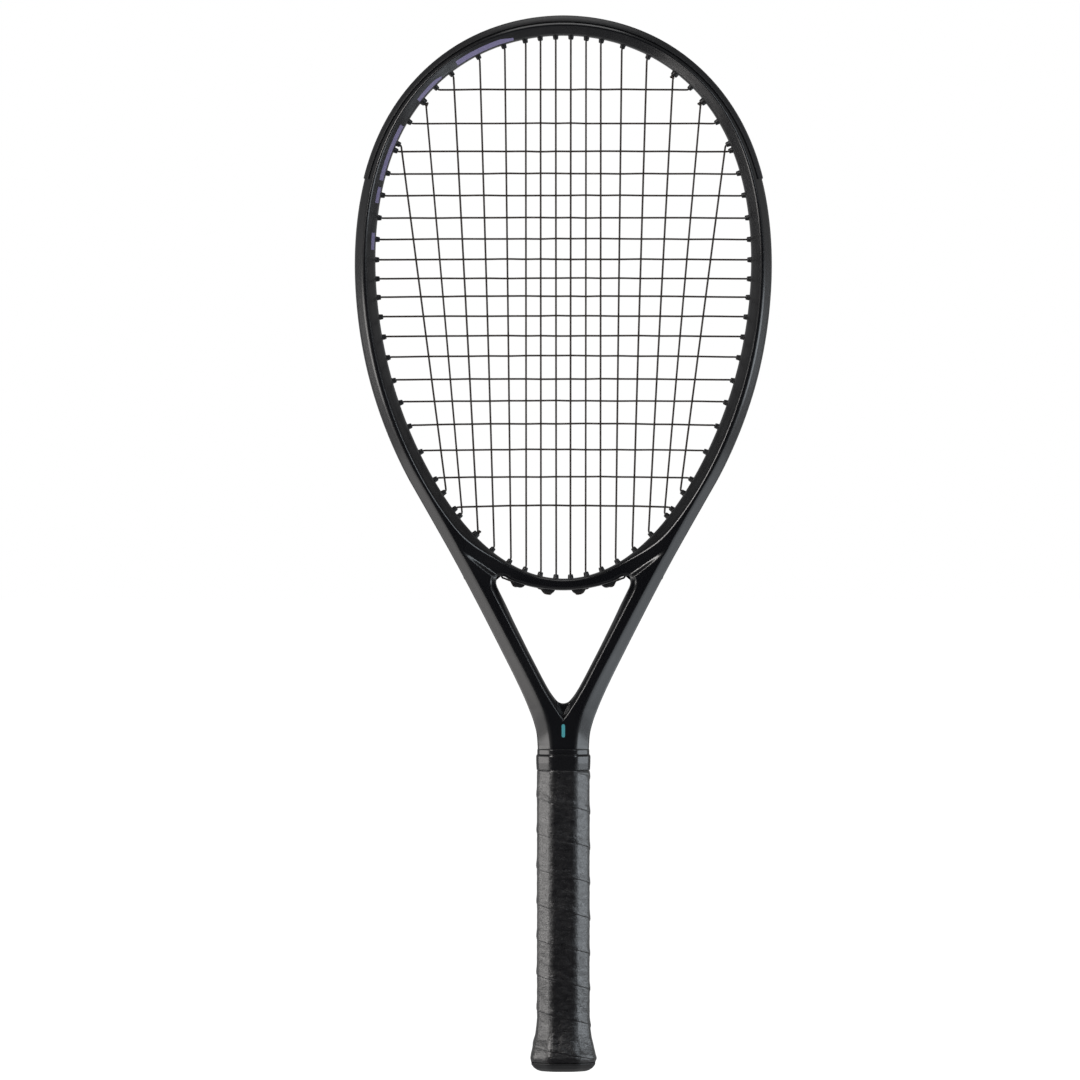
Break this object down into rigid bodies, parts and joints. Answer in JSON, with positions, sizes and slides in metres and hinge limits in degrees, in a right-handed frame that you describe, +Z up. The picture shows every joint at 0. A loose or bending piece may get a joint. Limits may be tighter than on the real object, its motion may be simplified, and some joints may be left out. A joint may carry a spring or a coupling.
{
  "type": "tennis racket",
  "caption": "Strung tennis racket: oval hoop, open throat, wound octagonal grip and a butt cap with a removable trap door.",
  "frame": {"origin": "middle of the butt cap's bottom face, at the lowest point of the racket", "axes": "+Z up the racket from butt to crown, +Y out of the back of the string bed, +X to the right seen from the front"},
  "size_m": [0.2764, 0.0402, 0.7],
  "materials": {
    "frame": "satin black paint over carbon composite",
    "throat_bridge": "satin black paint over carbon composite",
    "bumper_guard": "moulded black nylon",
    "grommet_strip_left": "moulded black nylon",
    "grommet_strip_right": "moulded black nylon",
    "grommet_strip_bridge": "moulded black nylon",
    "main_string": "dark polyester monofilament",
    "cross_string": "dark polyester monofilament",
    "pallet_front": "moulded rigid foam",
    "pallet_back": "moulded rigid foam",
    "butt_cap": "moulded black nylon",
    "butt_cap_door": "moulded black nylon",
    "butt_staple_front": "steel wire",
    "butt_staple_back": "steel wire",
    "grip_tack": "steel",
    "grip_tape": "black cushioned synthetic leather, spiral wound",
    "finishing_tape": "black adhesive tape",
    "grip_collar": "glossy black rubber",
    "tube_plug_left": "rigid foam",
    "tube_plug_right": "rigid foam"
  },
  "bodies": {
    "racket": {"frame": "frame", "throat_bridge": "throat_bridge", "bumper_guard": "bumper_guard", "grommet_strip_left": "grommet_strip_left", "grommet_strip_right": "grommet_strip_right", "grommet_strip_bridge": "grommet_strip_bridge", "main_string": "main_string", "cross_string": "cross_string", "pallet_front": "pallet_front", "pallet_back": "pallet_back", "butt_cap": "butt_cap", "butt_staple_front": "butt_staple_front", "butt_staple_back": "butt_staple_back", "grip_tack": "grip_tack", "grip_tape": "grip_tape", "finishing_tape": "finishing_tape", "grip_collar": "grip_collar", "tube_plug_left": "tube_plug_left", "tube_plug_right": "tube_plug_right"},
    "trap_door": {"butt_cap_door": "butt_cap_door"}
  },
  "joints": [
    {"name": "trap_door_slide", "type": "slide", "parent": "racket", "child": "trap_door", "axis": [0, 0, -1], "range_m": [0, 0.03]}
  ]
}
